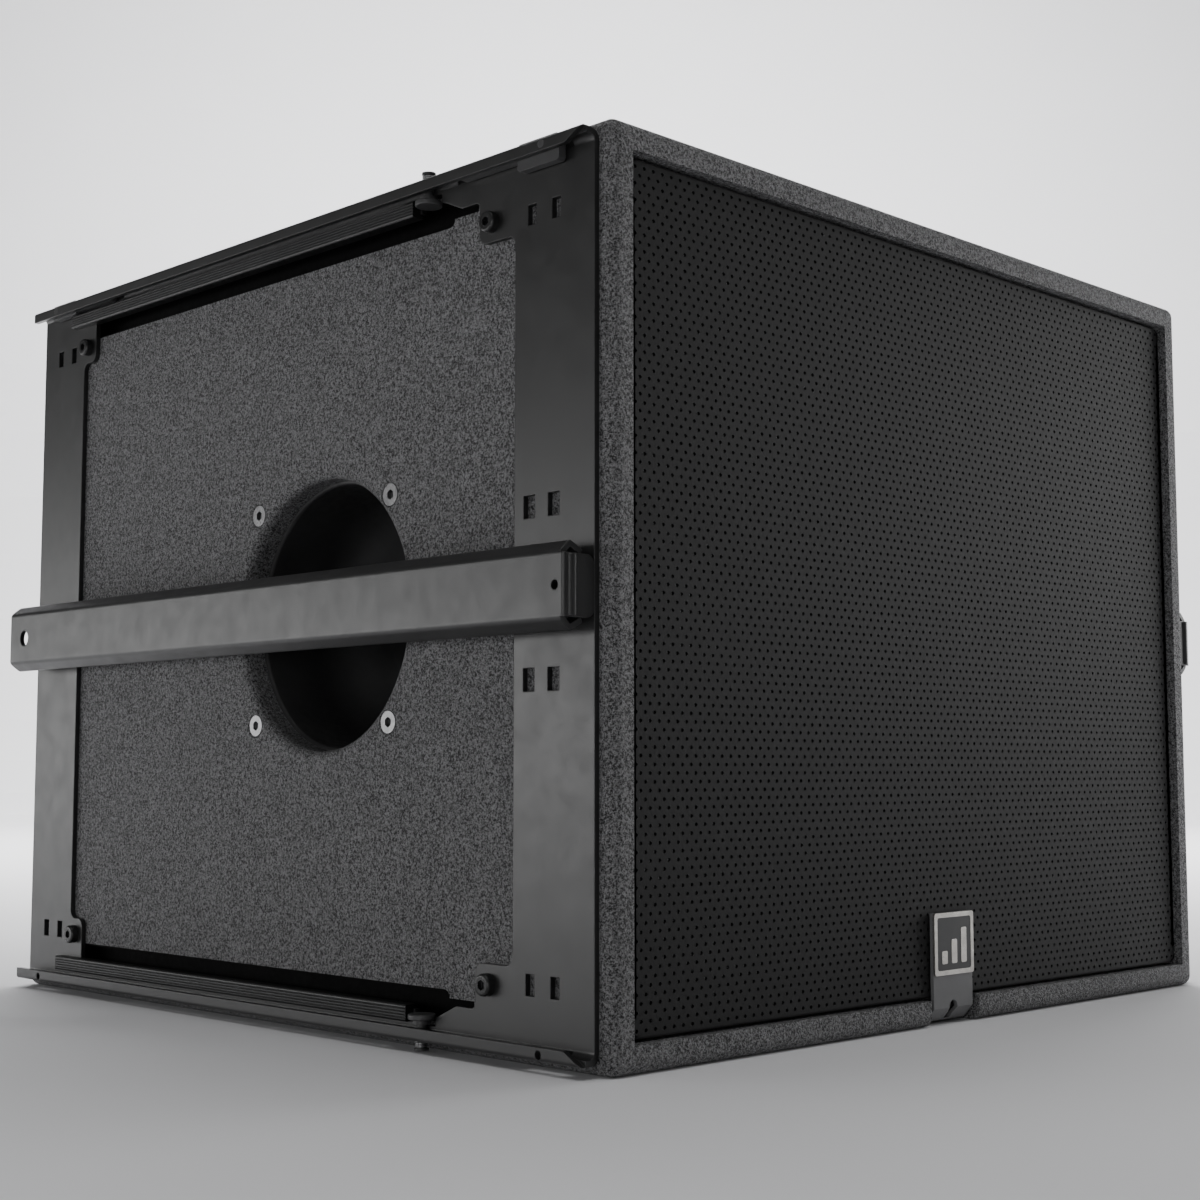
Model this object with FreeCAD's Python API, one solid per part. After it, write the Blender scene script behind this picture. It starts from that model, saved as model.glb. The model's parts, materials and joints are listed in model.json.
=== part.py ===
import FreeCAD, Part
import math
import os

# Compact flown low-frequency cabinet of a line array: one 15-inch driver behind a full-face grille,
# a steel rigging frame with rails and a handle bar on each side.
# Frame: origin at the bottom centre, X to the right seen from the front, Y to the rear, Z up.
# Side parts are drawn on the right (+X) side and mirrored for the left side.
# A side part's own coordinates are d (outward from the cabinet side), u (rearward from the front face)
# and z (up). A front part's own coordinate is s (rearward from the front face).
# Cutters run 1 mm past what they cut.

# ---------------------------------------------------------------- driving dimensions (mm)
WIDTH = 530.0
DEPTH = 532.0
HEIGHT = 442.0
PANEL = 14.0
EDGE_R = 6.5

MID_Z = HEIGHT / 2
HALF_W = WIDTH / 2
HALF_D = DEPTH / 2
IN_X = HALF_W - PANEL
IN_Z0 = PANEL
IN_Z1 = HEIGHT - PANEL

# front
GRILLE_S = 4.3
GRILLE_T = 1.5
GRILLE_EDGE = 1.7
GRILLE_SILL = 1.2
GRILLE_FOLD = 13.0
GRILLE_R = 6.0
FOAM_T = 8.0
BAFFLE_S = 40.0
BAFFLE_T = 18.0
BATTEN = 6.0
PORT_W = 34.0
PORT_H = 370.0
PORT_WALL = 9.0
PORT_DEPTH = 66.0
BRACE_S = 335.0
BRACE_T = 15.0
BRACE_R = 150.0
LINING_T = 25.0
LINING_IN = 20.0
LINING_Z = 14.0
PORT_IN = 6.0

# driver, with radii about its own axis
FLANGE_R = 193.5
CUTOUT_R = 177.0
FLANGE_T = 8.0
FLANGE_IN_R = 168.0
CONE_R = 148.0
CONE_T = 2.5
CONE_DEPTH = 74.0
COIL_R = 38.0
COIL_T = 0.6
COIL_END = 128.0
ROLL_R = 157.0
ROLL_OUT = 10.0
ROLL_IN = 8.4
SEAT_R = 80.0
SEAT_OUT_R = 112.0
SEAT_S = 86.0
REAR_S = 104.0
MAGNET_S = 122.0
MAGNET_R = 100.0
MAGNET_T = 24.0
PLATE_R = 95.0
PLATE_T = 10.0
POLE_HOLE_R = 12.0
BOLT_CIRCLE_R = 185.5
BOLT_R = 2.5
BOLT_HEAD_R = 4.5
BOLT_HEAD_T = 4.0
LEG_W = 26.0
CAP_R = 48.0
CAP_RISE = 14.0
CAP_T = 1.2
DRIVER_S = BAFFLE_S - FLANGE_T

# side frame
SHEET = 3.0
FRAME_U0 = 8.5
FRAME_U1 = 523.5
RAIL_IN = 12.1
RAIL_D = 12.0
RAIL_R = 3.0
LIP_TOP = 5.7
LIP_R = 1.8
END_SLANT = 13.0
WINDOW_U0 = 63.2
WINDOW_U1 = 473.6
WINDOW_Z = 175.3
TAB_U0 = 89.6
TAB_U1 = 459.7
TAB_R = 5.0
EDGE_Z = 201.2
SCREW_Z = 185.0
SCREW_U = (80.5, 468.7)
SCREW_R = 3.0
SCREW_HEAD_R = 5.4
SCREW_HEAD_T = 4.6
SLOT_U = (34.3, 51.2, 486.6, 503.2)
SLOT_Z = 183.0
SLOT_W = 6.0
SLOT_H = 10.0
MID_SLOT_U = (35.8, 52.7)
MID_SLOT_Z = 41.1
MID_SLOT_W = 8.0
MID_SLOT_H = 11.0
WAVE_DROP = 5.2

# grip channel and strip
CHANNEL_U0 = 112.0
CHANNEL_U1 = 468.0
CHANNEL_H = 16.7
CHANNEL_D = 10.0
CHANNEL_R = 4.0
NOSE_H = 12.7
POCKET_D = 3.5
POCKET_H = 10.0
LINER_T = 1.0
LINER_D = -0.3
STRIP_U0 = 136.0
STRIP_U1 = 482.0
STRIP_D = 8.2
STRIP_H = 8.4
STRIP_BACK = 1.2
STRIP_GAP = 1.7
RIB_PITCH = 1.5
RIB_DEPTH = 0.5

# handle bar
BAR_D = 22.5
BAR_T = 2.8
BAR_WEB = 15.5
BAR_WIDE_D = 16.5
BAR_WIDE = 20.8
BAR_BEND_R = 3.5
BAR_BACK_D = 8.2
BAR_BACK = 16.8
BAR_END_R = 6.0
BAR_PIN_U = 14.6
END_WALL = 14.6
BAR_HOLE_U = 506.0
END_WALL_T = 2.5
BRACKET_U0 = 478.0
BRACKET_U1 = 518.0
BRACKET_H = 14.0
BRACKET_T = 2.5

# handle cup
CUP_U = 222.0
CUP_R = 73.5
CUP_RIM_R = 5.0
CUP_MOUTH_R = 71.5
CUP_LIP_R = 2.0
CUP_BOTTOM_R = 30.0
CUP_FLANGE_R = 93.0
CUP_DEPTH = 66.0
CUP_T = 3.0
CUP_SCREW = 59.0
CUP_SCREW_D = -0.4

# link arms and lock plungers
LINK_U = 36.0
LINK_Z = HEIGHT - 8.8
LINK_SEAT_Z = 8.6
LINK_D0 = 4.0
LINK_D1 = 8.5
LINK_PIN_R = 2.0
LINK_LENGTH = 64.0
LINK_HOLE = 12.8
LINK_NOSE = 9.0
LINK_BLOCK_U = 20.0
LINK_BLOCK = 4.6
LINK_DROP = 8.7
LINK_BAR = 3.2
LINK_PLAY = 0.06
BORE_PLAY = 0.10
PLUNGER_U = 127.0
PLUNGER_D = 5.0
PLUNGER_R = 7.0
PLUNGER_PIN_R = 2.5
PLUNGER_DISC = 2.8
PLUNGER_NECK = 2.2
KNOB_GAP = 1.3
COLLAR_R = 3.6
COLLAR_T = 1.0
COLLAR_Z = 1.8
PIN_TOP = 0.8
SPRING_GAP = 0.3
SPRING_R = 3.1
SPRING_WIRE = 0.5
SPRING_TURNS = 2
SPRING_RUNS = 12

# grille clip
CLIP_W = 36.5
CLIP_S = 1.6
CLIP_T = 2.0
NOTCH_W = 45.0
NOTCH_S = 16.0
NOTCH_SEAT = 4.2
CLIP_FOOT_Z = 2.0
CLIP_BEND_Z = 9.0
CLIP_BEND_S = 7.5
CLIP_SCREW_Z = 8.2
CLIP_SCREW_R = 1.6
CLIP_HEAD_R = 3.0
CLIP_HEAD_T = 4.0
CLIP_HOLE_Z = 9.4
CLIP_HOLE_R = 3.6
CLIP_SLOT_W = 5.2
BADGE_Z0 = 26.7
BADGE_Z1 = 60.2
BADGE_T = 1.2
BADGE_FLOOR = 0.4
BADGE_RIM = 2.6
BADGE_R = 1.5
BADGE_BAR_W = 5.0
BADGE_BAR_H = 7.0
BADGE_BAR_STEP = 6.0

# rear connectors
CONN_Z = 110.0
CONN_W = 150.0
CONN_H = 84.0
CONN_RECESS = 6.0
CONN_T = 3.0
CONN_LAND = 14.0
CONN_SCREW_IN = 7.0
SOCKET_X = 32.0
SOCKET_HALF = 15.5
SOCKET_R = 12.5
SOCKET_BORE_R = 11.0
SOCKET_CORE_R = 4.4
CABLE_R = 2.5

X = FreeCAD.Vector(1, 0, 0)
Y = FreeCAD.Vector(0, 1, 0)
Z = FreeCAD.Vector(0, 0, 1)


# ---------------------------------------------------------------- helpers
def vec(x, y, z):
    return FreeCAD.Vector(x, y, z)


def box(x0, x1, y0, y1, z0, z1):
    """Box between two corners, given axis by axis in any order."""
    return Part.makeBox(abs(x1 - x0), abs(y1 - y0), abs(z1 - z0),
                        vec(min(x0, x1), min(y0, y1), min(z0, z1)))


def front_y(s):
    return s - HALF_D


def side_box(d0, d1, u0, u1, z0, z1):
    """Box on the right side, in side coordinates."""
    return box(HALF_W + d0, HALF_W + d1, front_y(u0), front_y(u1), z0, z1)


def side_point(d, u, z):
    return vec(HALF_W + d, front_y(u), z)


def side_rod(radius, d0, d1, u, z):
    """Cylinder along X on the right side."""
    return Part.makeCylinder(radius, d1 - d0, side_point(d0, u, z), X)


def mirror_x(shape):
    return shape.mirror(vec(0, 0, 0), X)


def mirror_z(shape):
    return shape.mirror(vec(0, 0, MID_Z), Z)


def mirror_y(shape):
    return shape.mirror(vec(0, 0, 0), Y)


def fuse(shapes):
    return shapes[0].multiFuse(shapes[1:]).removeSplitter()


def cut_all(shape, cutters):
    for cutter in cutters:
        shape = shape.cut(cutter)
    return shape


def group(shapes):
    return Part.makeCompound(shapes)


def prism(points, direction):
    """Solid swept from a closed polygon of vectors."""
    return Part.Face(Part.makePolygon(points + [points[0]])).extrude(direction)


def parallel(points, offset):
    """Path of (a, b) points moved sideways by offset, to the left of its direction."""
    moved = []
    for i, point in enumerate(points):
        normals = []
        for j in (i - 1, i):
            if 0 <= j < len(points) - 1:
                da = points[j + 1][0] - points[j][0]
                db = points[j + 1][1] - points[j][1]
                length = math.hypot(da, db)
                normals.append((-db / length, da / length))
        na = sum(n[0] for n in normals) / len(normals)
        nb = sum(n[1] for n in normals) / len(normals)
        scale = offset / (na * na + nb * nb)
        moved.append((point[0] + na * scale, point[1] + nb * scale))
    return moved


def revolve_profile(points):
    """Solid of revolution about the driver's axis from (radius, s) points, s measured from the front."""
    axis_point = vec(0, 0, MID_Z)
    ring = [vec(r, front_y(s), MID_Z) for r, s in points]
    face = Part.Face(Part.makePolygon(ring + [ring[0]]))
    return face.revolve(axis_point, Y, 360)


def ring(r_in, r_out, s0, s1):
    """Washer or tube about the driver's axis."""
    outer = Part.makeCylinder(r_out, s1 - s0, vec(0, front_y(s0), MID_Z), Y)
    if r_in == 0:
        return outer
    return outer.cut(Part.makeCylinder(r_in, s1 - s0, vec(0, front_y(s0), MID_Z), Y))


def rounded_plate(x0, x1, z0, z1, s0, s1, radius):
    """Plate facing the front, with its four corners rounded."""
    plate = box(x0, x1, front_y(s0), front_y(s1), z0, z1)
    corners = [e for e in plate.Edges if abs(e.tangentAt(e.FirstParameter).y) > 0.9]
    return plate.makeFillet(radius, corners)


def hex_socket(radius, depth, base, axis):
    """Cutter for a hexagonal socket."""
    side = X if abs(axis.dot(X)) < 0.5 else Z
    across = axis.cross(side)
    points = []
    for k in range(6):
        angle = math.radians(60 * k)
        points.append(base + side * (radius * math.cos(angle)) + across * (radius * math.sin(angle)))
    return prism(points, axis * depth)


# ---------------------------------------------------------------- cabinet
def cabinet_block():
    block = box(-HALF_W, HALF_W, -HALF_D, HALF_D, 0, HEIGHT)
    return block.makeFillet(EDGE_R, block.Edges)


def clip_notch():
    """Notch in the bottom panel's front edge, and the shallow seat behind it for the clip's foot."""
    notch = box(-NOTCH_W / 2, NOTCH_W / 2, front_y(-1), front_y(NOTCH_S), -1, PANEL + 1)
    seat = box(-NOTCH_W / 2, NOTCH_W / 2, front_y(NOTCH_S - 1), front_y(2 * NOTCH_S + 2), -1, NOTCH_SEAT)
    return notch.fuse(seat)


def clip_screw_axis():
    return vec(0, front_y(NOTCH_S), CLIP_SCREW_Z)


def knob_pockets():
    """Pockets beside the upper plungers' knobs, on both sides."""
    reach = PLUNGER_R + 2
    pocket = side_box(-POCKET_D, 1, PLUNGER_U - reach, PLUNGER_U + reach, IN_Z1 - POCKET_H, HEIGHT - RAIL_IN)
    return [pocket, mirror_x(pocket)]


def clip_screw_shank():
    return Part.makeCylinder(CLIP_SCREW_R, NOTCH_S, clip_screw_axis(), Y)


def make_bottom_panel(block):
    slab = box(-HALF_W, HALF_W, -HALF_D, HALF_D, 0, PANEL)
    panel = block.common(slab).cut(clip_notch())
    panel = cut_all(panel, [mirror_z(pocket) for pocket in knob_pockets()])
    return panel.cut(clip_screw_shank())


def make_top_panel(block):
    slab = box(-HALF_W, HALF_W, -HALF_D, HALF_D, IN_Z1, HEIGHT)
    pins = link_pins_right()
    cutters = knob_pockets() + pins + [mirror_x(pin) for pin in pins]
    return cut_all(block.common(slab), cutters)


def grip_channel():
    """Finger channel milled along the top of the right side, its front end rounded."""
    z0 = IN_Z1 - CHANNEL_H
    channel = side_box(-CHANNEL_D, 1, CHANNEL_U0, CHANNEL_U1, z0, IN_Z1)
    corner = [e for e in channel.Edges
              if abs(e.tangentAt(e.FirstParameter).x) > 0.9
              and abs(e.CenterOfMass.z - z0) < 0.1]
    channel = channel.makeFillet(CHANNEL_R, corner)
    nose = side_box(-CHANNEL_D, 1, TAB_U0 + CHANNEL_R, CHANNEL_U0 + 1, IN_Z1 - NOSE_H, IN_Z1)
    return channel.fuse(nose)


def cup_screw_places():
    return [(CUP_U + a * CUP_SCREW, MID_Z + b * CUP_SCREW) for a in (-1, 1) for b in (-1, 1)]


def cup_screw(u, z):
    """Countersunk screw that holds the cup through the side panel."""
    d_neck = CUP_SCREW_D - SCREW_R
    head = Part.makeCone(SCREW_R, 2 * SCREW_R, SCREW_R, side_point(d_neck, u, z), X)
    shank = side_rod(SCREW_R, -PANEL - CUP_T - 6, d_neck, u, z)
    return fuse([head, shank])


def countersink(u, z):
    """Room for a cup screw's head, a little wider than the head."""
    depth = SCREW_R + 0.6
    return Part.makeCone(SCREW_R + 0.4, 2 * SCREW_R + 1, depth, side_point(-depth, u, z), X)


def frame_screw_places():
    return [(u, MID_Z + b * SCREW_Z) for u in SCREW_U for b in (-1, 1)]


def frame_screw_shank(u, z):
    return side_rod(SCREW_R, -PANEL, SHEET, u, z)


def make_side_panel_right(block):
    region = box(IN_X, HALF_W, -HALF_D, HALF_D, IN_Z0, IN_Z1)
    panel = block.common(region)
    hole = side_rod(CUP_R, -PANEL - 1, 1, CUP_U, MID_Z)
    panel = panel.cut(hole)
    rim = [e for e in panel.Edges
           if abs(e.CenterOfMass.x - HALF_W) < 0.1 and abs(e.Length - 2 * math.pi * CUP_R) < 1]
    panel = panel.makeFillet(CUP_RIM_R, rim)
    channel = grip_channel()
    panel = panel.cut(channel).cut(mirror_z(channel))
    for u, z in cup_screw_places():
        panel = panel.cut(cup_screw(u, z)).cut(countersink(u, z))
    for u, z in frame_screw_places():
        panel = panel.cut(frame_screw_shank(u, z))
    return panel


def make_grip_liner_right():
    """Moulded lining of the upper finger channel: its back and both of its long walls."""
    inner = side_box(-CHANNEL_D + LINER_T, 1, CHANNEL_U0 - 20, CHANNEL_U1 - LINER_T,
                     IN_Z1 - CHANNEL_H + LINER_T, IN_Z1 - LINER_T)
    skin = side_box(-CHANNEL_D, LINER_D, TAB_U0, CHANNEL_U1, IN_Z1 - CHANNEL_H, IN_Z1)
    return cut_all(grip_channel().common(skin), [inner, knob_pockets()[0]])


def make_rear_panel(block):
    region = box(-IN_X, IN_X, HALF_D - PANEL, HALF_D, IN_Z0, IN_Z1)
    panel = block.common(region)
    seat = box(-CONN_W / 2 - 1, CONN_W / 2 + 1, HALF_D - CONN_RECESS, HALF_D + 1,
               CONN_Z - CONN_H / 2 - 1, CONN_Z + CONN_H / 2 + 1)
    opening = box(-CONN_W / 2 + CONN_LAND, CONN_W / 2 - CONN_LAND, HALF_D - PANEL - 1, HALF_D,
                  CONN_Z - CONN_H / 2 + CONN_LAND, CONN_Z + CONN_H / 2 - CONN_LAND)
    panel = panel.cut(seat).cut(opening)
    for screw in connector_screw_list():
        panel = panel.cut(screw)
    return panel


def make_front_baffle():
    board = box(-IN_X, IN_X, front_y(BAFFLE_S), front_y(BAFFLE_S + BAFFLE_T), IN_Z0, IN_Z1)
    board = board.cut(ring(0, CUTOUT_R, BAFFLE_S - 1, BAFFLE_S + BAFFLE_T + 1))
    for side in (-1, 1):
        x_out = side * (IN_X - PORT_IN)
        x_in = side * (IN_X - PORT_IN - PORT_W)
        slot = box(x_in, x_out, front_y(BAFFLE_S - 1), front_y(BAFFLE_S + BAFFLE_T + 1),
                   MID_Z - PORT_H / 2, MID_Z + PORT_H / 2)
        board = board.cut(slot)
    for screw in driver_screw_list():
        board = board.cut(screw)
    return board


def make_port_duct_right():
    """Wall that turns the slot beside the driver into a duct."""
    x1 = IN_X - PORT_IN - PORT_W
    s0 = BAFFLE_S + BAFFLE_T
    return box(x1 - PORT_WALL, x1, front_y(s0), front_y(s0 + PORT_DEPTH), IN_Z0, IN_Z1)


def make_internal_brace():
    board = box(-IN_X, IN_X, front_y(BRACE_S), front_y(BRACE_S + BRACE_T), IN_Z0, IN_Z1)
    return board.cut(ring(0, BRACE_R, BRACE_S - 1, BRACE_S + BRACE_T + 1))


def make_grille_battens():
    battens = []
    for side in (-1, 1):
        battens.append(box(side * (IN_X - BATTEN), side * IN_X, front_y(GRILLE_S + GRILLE_FOLD + 1),
                           front_y(BAFFLE_S), IN_Z0, IN_Z1))
    return group(battens)


def make_damping_lining():
    """Pad of absorbent wadding on the rear panel, cut out round the connectors."""
    lining = box(-IN_X + LINING_IN, IN_X - LINING_IN, HALF_D - PANEL - LINING_T, HALF_D - PANEL,
                 IN_Z0 + LINING_Z, IN_Z1 - LINING_Z)
    return lining.cut(box(-CONN_W / 2, CONN_W / 2, HALF_D - PANEL - LINING_T - 1, HALF_D,
                          CONN_Z - CONN_H / 2, CONN_Z + CONN_H / 2))


# ---------------------------------------------------------------- grille and its clip
def make_grille():
    """Grille pan: front sheet with its edges folded back. Its perforation is left solid here."""
    x1 = IN_X - GRILLE_EDGE
    z0 = IN_Z0 + GRILLE_SILL
    z1 = IN_Z1 - GRILLE_EDGE
    outer = rounded_plate(-x1, x1, z0, z1, GRILLE_S, GRILLE_S + GRILLE_FOLD, GRILLE_R)
    inner = rounded_plate(-x1 + GRILLE_T, x1 - GRILLE_T, z0 + GRILLE_T, z1 - GRILLE_T,
                          GRILLE_S + GRILLE_T, GRILLE_S + GRILLE_FOLD + 1, GRILLE_R - GRILLE_T)
    return outer.cut(inner)


def make_grille_foam():
    x1 = IN_X - GRILLE_EDGE - GRILLE_T
    z0 = IN_Z0 + GRILLE_SILL + GRILLE_T
    z1 = IN_Z1 - GRILLE_EDGE - GRILLE_T
    s0 = GRILLE_S + GRILLE_T
    return rounded_plate(-x1, x1, z0, z1, s0, s0 + FOAM_T, GRILLE_R - GRILLE_T)


def make_grille_clip():
    """Steel strap over the grille's lower edge, bent under the cabinet and slotted for its screw."""
    path = [(CLIP_S, BADGE_Z1), (CLIP_S, CLIP_BEND_Z), (CLIP_BEND_S, CLIP_FOOT_Z),
            (2 * NOTCH_S, CLIP_FOOT_Z)]
    inner = parallel(path, CLIP_T)
    outline = path + inner[::-1]
    points = [vec(-CLIP_W / 2, front_y(s), z) for s, z in outline]
    strap = prism(points, X * CLIP_W)
    strap = strap.cut(Part.makeCylinder(CLIP_HOLE_R, NOTCH_S - 4, vec(0, front_y(-1), CLIP_HOLE_Z), Y))
    return strap.cut(box(-CLIP_SLOT_W / 2, CLIP_SLOT_W / 2, front_y(-1), front_y(NOTCH_S - 5),
                         CLIP_FOOT_Z + 1, CLIP_HOLE_Z))


def badge_bars():
    """Three upright bars of rising height inside the badge's pocket."""
    bars = []
    for k in range(3):
        x0 = -BADGE_BAR_W * 2.3 + k * BADGE_BAR_W * 1.8
        z0 = BADGE_Z0 + BADGE_BAR_STEP
        z1 = z0 + BADGE_BAR_H + BADGE_BAR_STEP * k
        bars.append(rounded_plate(x0, x0 + BADGE_BAR_W, z0, z1, CLIP_S - BADGE_T, CLIP_S - BADGE_FLOOR, 1.0))
    return bars


def badge_pocket():
    return rounded_plate(-CLIP_W / 2 + BADGE_RIM, CLIP_W / 2 - BADGE_RIM, BADGE_Z0 + BADGE_RIM,
                         BADGE_Z1 - BADGE_RIM, CLIP_S - BADGE_T - 1, CLIP_S - BADGE_FLOOR, BADGE_R)


def make_badge_plate():
    """Plain badge on the clip: a rimmed plate with three raised bars in its pocket."""
    plate = rounded_plate(-CLIP_W / 2, CLIP_W / 2, BADGE_Z0, BADGE_Z1, CLIP_S - BADGE_T, CLIP_S, BADGE_R)
    return fuse([plate.cut(badge_pocket())] + badge_bars())


def make_badge_inlay():
    """Dark enamel that fills the badge's pocket round the bars."""
    inlay = rounded_plate(-CLIP_W / 2 + BADGE_RIM, CLIP_W / 2 - BADGE_RIM, BADGE_Z0 + BADGE_RIM,
                          BADGE_Z1 - BADGE_RIM, CLIP_S - BADGE_T + 0.2, CLIP_S - BADGE_FLOOR, BADGE_R)
    return cut_all(inlay, badge_bars())


def make_clip_screw():
    base = clip_screw_axis()
    face = base - Y * CLIP_HEAD_T
    head = Part.makeCylinder(CLIP_HEAD_R, CLIP_HEAD_T, face, Y)
    screw = fuse([head, clip_screw_shank()])
    return screw.cut(hex_socket(CLIP_SCREW_R, 2.2, face, Y))


# ---------------------------------------------------------------- driver
def driver_screw_list():
    screws = []
    for k in range(8):
        angle = math.radians(45 * k + 22.5)
        x = BOLT_CIRCLE_R * math.cos(angle)
        z = MID_Z + BOLT_CIRCLE_R * math.sin(angle)
        head = Part.makeCylinder(BOLT_HEAD_R, BOLT_HEAD_T, vec(x, front_y(DRIVER_S - BOLT_HEAD_T), z), Y)
        shank = Part.makeCylinder(BOLT_R, FLANGE_T + BAFFLE_T - 2, vec(x, front_y(DRIVER_S), z), Y)
        screws.append(fuse([head, shank]))
    return screws


def make_driver_basket():
    """Cast frame: front flange, six legs, spider seat and rear plate."""
    s0 = DRIVER_S
    s_rear = s0 + REAR_S + FLANGE_T
    foot_r = PLATE_R + 2
    flange = ring(FLANGE_IN_R, FLANGE_R, s0, s0 + FLANGE_T)
    seat = ring(SEAT_R, SEAT_OUT_R, s0 + SEAT_S, s0 + SEAT_S + 6)
    rear = ring(COIL_R + 6, foot_r, s0 + REAR_S, s_rear)
    leg = revolve_profile([(FLANGE_IN_R - 2, s0 + 4), (FLANGE_IN_R + 6, s0 + 4), (FLANGE_IN_R + 6, s0 + 14),
                           (foot_r, s_rear), (foot_r - 9, s_rear)])
    legs = []
    for k in range(6):
        wedge = box(60, FLANGE_R, front_y(s0), front_y(s_rear + 8), MID_Z - LEG_W / 2, MID_Z + LEG_W / 2)
        wedge.rotate(vec(0, 0, MID_Z), Y, 60 * k)
        legs.append(leg.common(wedge))
    basket = fuse([flange, seat, rear] + legs)
    return cut_all(basket, driver_screw_list())


def make_driver_gasket():
    """Foam ring on the flange's front, inside the circle of screws."""
    return ring(FLANGE_IN_R + 1, FLANGE_IN_R + 12, DRIVER_S - BOLT_HEAD_T, DRIVER_S)


def make_surround():
    """Half-roll of rubber between the cone and the basket."""
    s0 = DRIVER_S
    s_land = s0 + 1.5
    outer = ring(CONE_R - 3, FLANGE_IN_R, s0 - ROLL_OUT - 1, s0 + 2)
    roll = Part.makeTorus(ROLL_R, ROLL_OUT, vec(0, front_y(s0), MID_Z), Y)
    core = Part.makeTorus(ROLL_R, ROLL_IN, vec(0, front_y(s0), MID_Z), Y)
    front = ring(CONE_R - 5, FLANGE_IN_R + 2, s0 - ROLL_OUT - 2, s0)
    shell = roll.cut(core).common(front)
    land_in = ring(CONE_R - 3, ROLL_R - ROLL_IN, s0, s_land)
    land_out = ring(ROLL_R + ROLL_IN, FLANGE_IN_R, s0, s_land)
    return fuse([shell, land_in, land_out]).common(outer)


def make_cone():
    s_front = DRIVER_S + 1.5
    s_neck = DRIVER_S + CONE_DEPTH
    neck = COIL_R + COIL_T
    return revolve_profile([(CONE_R, s_front), (neck, s_neck), (neck, s_neck + CONE_T),
                            (CONE_R, s_front + CONE_T)])


def make_dust_cap(cone):
    """Domed cap glued over the coil in the cone's throat."""
    s_edge = DRIVER_S + CONE_DEPTH - 4
    s_crown = s_edge - CAP_RISE
    sphere_r = (CAP_R * CAP_R + CAP_RISE * CAP_RISE) / (2 * CAP_RISE)
    centre = vec(0, front_y(s_crown + sphere_r), MID_Z)
    dome = Part.makeSphere(sphere_r, centre).cut(Part.makeSphere(sphere_r - CAP_T, centre))
    return dome.common(ring(0, CAP_R, s_crown - 1, s_edge - 1)).cut(cone)


def make_voice_coil():
    """Former with its winding at the rear end."""
    s0 = DRIVER_S
    winding_in = COIL_R + COIL_T
    former = ring(COIL_R, winding_in, s0 + CONE_DEPTH - 4, s0 + COIL_END)
    winding = ring(winding_in, winding_in + 0.5, s0 + COIL_END - 22, s0 + COIL_END)
    return fuse([former, winding])


def make_spider():
    """Corrugated suspension between the coil and the basket's inner seat."""
    s0 = DRIVER_S + SEAT_S - 2
    first = COIL_R + COIL_T
    wave = [0, -3, 3, -3, 3, -3, 3, -3, 1]
    radii = [first + k * (SEAT_R - first) / (len(wave) - 1) for k in range(len(wave))]
    front = [(r, s0 + w) for r, w in zip(radii, wave)]
    rear = [(r, s + 1.4) for r, s in front]
    land = ring(SEAT_R, SEAT_R + 17, s0 + 1.2, s0 + 2)
    return fuse([revolve_profile(front + rear[::-1]), land])


def make_top_plate():
    return ring(COIL_R + 1.7, PLATE_R, DRIVER_S + MAGNET_S - PLATE_T, DRIVER_S + MAGNET_S)


def make_magnet():
    return ring(MAGNET_R - 48, MAGNET_R, DRIVER_S + MAGNET_S, DRIVER_S + MAGNET_S + MAGNET_T)


def make_pole_plate():
    """Rear plate of the magnet with its vented pole piece."""
    s0 = DRIVER_S + MAGNET_S + MAGNET_T
    plate = ring(POLE_HOLE_R, PLATE_R, s0, s0 + PLATE_T + 1)
    pole = ring(POLE_HOLE_R, COIL_R - 0.7, DRIVER_S + MAGNET_S - PLATE_T - 2, s0)
    return fuse([plate, pole])


def make_driver_terminals():
    """Terminal block under the basket's rear plate, with two blades."""
    s0 = DRIVER_S + REAR_S - 10
    z0 = MID_Z - PLATE_R - 2
    block = box(-14, 14, front_y(s0), front_y(s0 + 10), z0, z0 + 13)
    blades = [box(x - 3, x + 3, front_y(s0 + 4), front_y(s0 + 5), z0 - 11, z0) for x in (-8, 8)]
    return fuse([block] + blades)


# ---------------------------------------------------------------- side frame
def frame_profile():
    """Upper half of the frame's section in (d, z): plate, bend, flange and a lip turned back down."""
    z_top = HEIGHT - LIP_TOP
    z_under = z_top - SHEET
    z_bend = z_under - RAIL_R
    d_bend = SHEET + RAIL_R
    back_r = RAIL_R + SHEET
    bend = math.sqrt(0.5)
    inside = (SHEET + RAIL_R * (1 - bend), z_bend + RAIL_R * bend)
    outside = (d_bend - back_r * bend, z_bend + back_r * bend)
    corners = [(SHEET, MID_Z), (SHEET, z_bend), (d_bend, z_under), (RAIL_D - SHEET, z_under),
               (RAIL_D - SHEET, HEIGHT - RAIL_IN), (RAIL_D, HEIGHT - RAIL_IN), (RAIL_D, z_top),
               (d_bend, z_top), (0, z_bend), (0, MID_Z)]
    arcs = {1: inside, 7: outside}
    edges = []
    for k, corner in enumerate(corners):
        start = side_point(corner[0], FRAME_U0, corner[1])
        following = corners[(k + 1) % len(corners)]
        end = side_point(following[0], FRAME_U0, following[1])
        if k in arcs:
            middle = side_point(arcs[k][0], FRAME_U0, arcs[k][1])
            edges.append(Part.Arc(start, middle, end).toShape())
        else:
            edges.append(Part.LineSegment(start, end).toShape())
    return Part.Face(Part.Wire(edges))


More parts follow.
